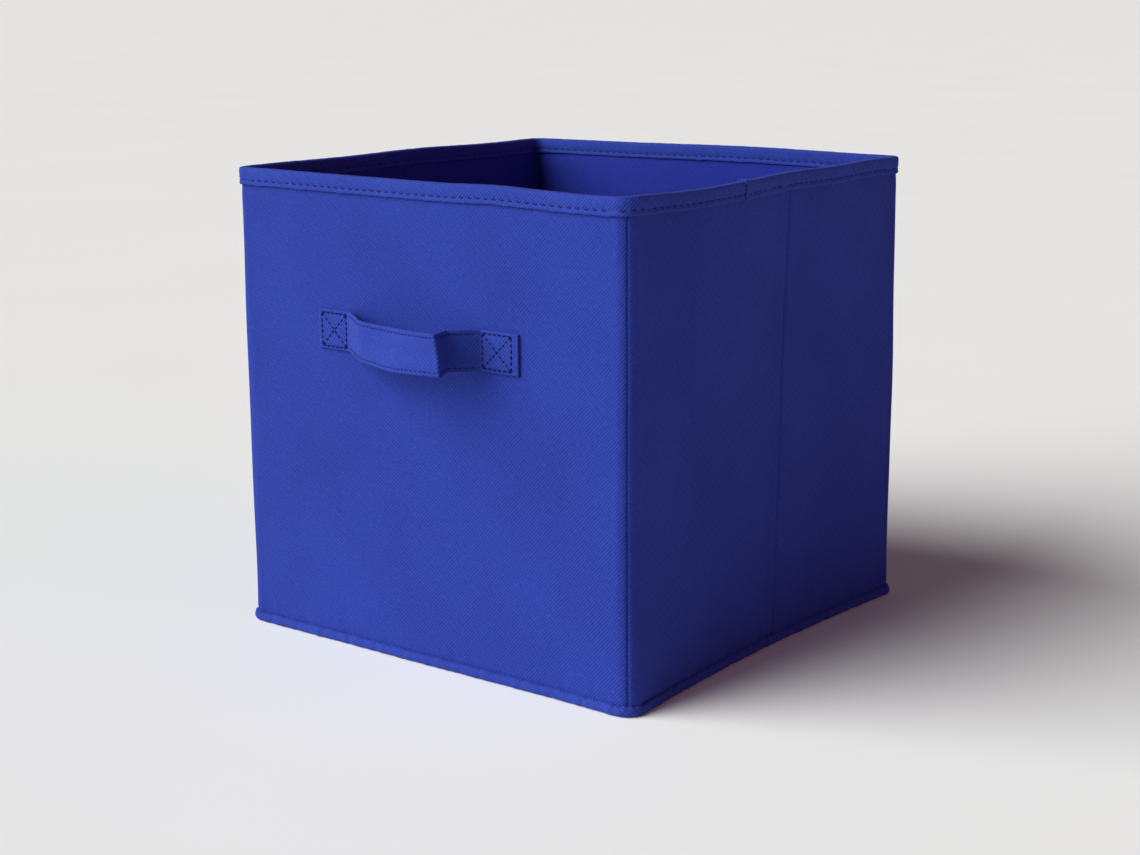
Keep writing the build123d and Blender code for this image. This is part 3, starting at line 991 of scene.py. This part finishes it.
(x_low, y_low), (x_high, y_high) = low[:2] + SLEEVE_HEM, high[:2] - SLEEVE_HEM
corners = [(x_low, y_low), (x_high, y_low), (x_high, y_high), (x_low, y_high)]
flat_threads("base_sleeve_stitches", corners, corners[1:] + corners[:1], high[2] - 0.1,
             "base_flap")


def floor_piece(name, node, corners, bodies):
    """One facet of the creased floor cloth, between four plan corners."""
    c = np.array(corners, float)

    def plan(a, b):
        a, b = a[..., None], b[..., None]
        return (c[0] * (1 - a) + c[1] * a) * (1 - b) + (c[3] * (1 - a) + c[2] * a) * b

    def gap(a, b):
        return np.minimum.reduce([a, 1 - a, b, 1 - b]) * 120.0

    steps = np.sort(np.concatenate([np.linspace(0, 1, 34), [0.002, 0.006, 0.994, 0.998]]))
    piece = pad(name, plan, steps, steps, FLOOR_LOW, FLOOR_TOP, 0.3, gap,
                lambda x, y: 0.12 * ripple(x, y, 71), LINING)
    attach(piece, bodies)
    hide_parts(node)


LEAF_Y = joint_at("floor_rear_crease")[1]
MIDLINE_GAP, LEAF_LAP = 0.1, 0.5  # from a facet to the middle crease, and leaf over gusset
TIP = mm_box("floor_gusset_right_front")[0][0] - 0.2
HEM_Y, HEM_X = HALF_D - WALL_T - 0.2, HALF_W - WALL_T - 0.2  # just inside the walls
for end, sign in (("front", -1), ("rear", 1)):
    wall = "front" if end == "front" else "back"
    wide = LEAF_Y + (HEM_Y - LEAF_Y + LEAF_LAP) * (LEAF_Y - TIP) / LEAF_Y
    middle, side_edge = sign * MIDLINE_GAP, sign * (LEAF_Y - LEAF_LAP)
    floor_piece(f"floor_cloth_{end}", f"floor_leaf_{end}",
                [(-wide, sign * HEM_Y), (wide, sign * HEM_Y), (TIP, middle), (-TIP, middle)],
                (wall, f"floor_{end}"))
    for side, hand in (("right", 1), ("left", -1)):
        half = f"{side}_{end}"
        floor_piece(f"floor_cloth_{half}", f"floor_gusset_{half}",
                    [(hand * HEM_X, side_edge), (hand * HEM_X, middle),
                     (hand * (TIP + 0.3), middle), (hand * (LEAF_Y + 0.2), side_edge)],
                    (half, f"gusset_{half}"))

# ---------------------------------------------------------------- floor, camera and lights
FLOOR_SIZE = 120.0  # metres, so that its edge is never in view
FLOOR_DROP = 0.0002  # metres below the bin's foot


def stage_floor():
    material, tree, shader = node_material("pale_floor")
    where = tree.nodes.new("ShaderNodeTexCoord").outputs["Object"]
    shade = noise(tree, where, 3.0, 3.0)
    tree.links.new(mixed(tree, shade, (0.845, 0.87, 0.85), (0.885, 0.91, 0.885)),
                   shader.inputs["Base Color"])
    shader.inputs["Roughness"].default_value = 0.9
    bpy.ops.mesh.primitive_plane_add(size=FLOOR_SIZE, location=(0, 0, -FLOOR_DROP))
    floor = bpy.context.object
    floor.name = "stage_floor"
    floor.data.materials.append(material)


CAMERA_PLACE = (0.74752, -0.97214, 0.39408)  # metres
AZIMUTH, ELEVATION, ROLL = 37.736, 12.821, -0.356  # degrees
LENS, SENSOR = 63.83, 36.0  # millimetres


def make_camera():
    data = bpy.data.cameras.new("camera")
    data.lens, data.sensor_width = LENS, SENSOR
    data.clip_start, data.clip_end = 0.05, 50.0
    camera = bpy.data.objects.new("camera", data)
    bpy.context.scene.collection.objects.link(camera)
    a, e = math.radians(AZIMUTH), math.radians(ELEVATION)
    back = Vector((math.sin(a) * math.cos(e), -math.cos(a) * math.cos(e), math.sin(e)))
    level = (-back).to_track_quat("-Z", "Y").to_matrix()
    camera.rotation_euler = (level @ Matrix.Rotation(math.radians(ROLL), 3, "Z")).to_euler()
    camera.location = CAMERA_PLACE
    bpy.context.scene.camera = camera


def make_world():
    world = bpy.data.worlds.new("studio")
    world.use_nodes = True
    background = world.node_tree.nodes["Background"]
    background.inputs[0].default_value = (1.0, 0.95, 1.0, 1.0)
    background.inputs[1].default_value = 0.08
    bpy.context.scene.world = world


def soft_light(name, direction, strength, spread, colour):
    """A large soft light, far away, so that the floor is lit evenly."""
    data = bpy.data.lights.new(name, "SUN")
    data.energy, data.angle, data.color = strength, math.radians(spread), colour
    light = bpy.data.objects.new(name, data)
    bpy.context.scene.collection.objects.link(light)
    light.rotation_euler = Vector(direction).to_track_quat("Z", "Y").to_euler()


stage_floor()
make_camera()
make_world()
soft_light("key", (-0.52, -0.66, 0.54), 4.7, 58, (1.0, 1.0, 1.0))
soft_light("fill", (0.90, 0.15, 0.16), 0.64, 50, (1.0, 0.26, 0.42))
bpy.context.scene.view_settings.view_transform = "Standard"
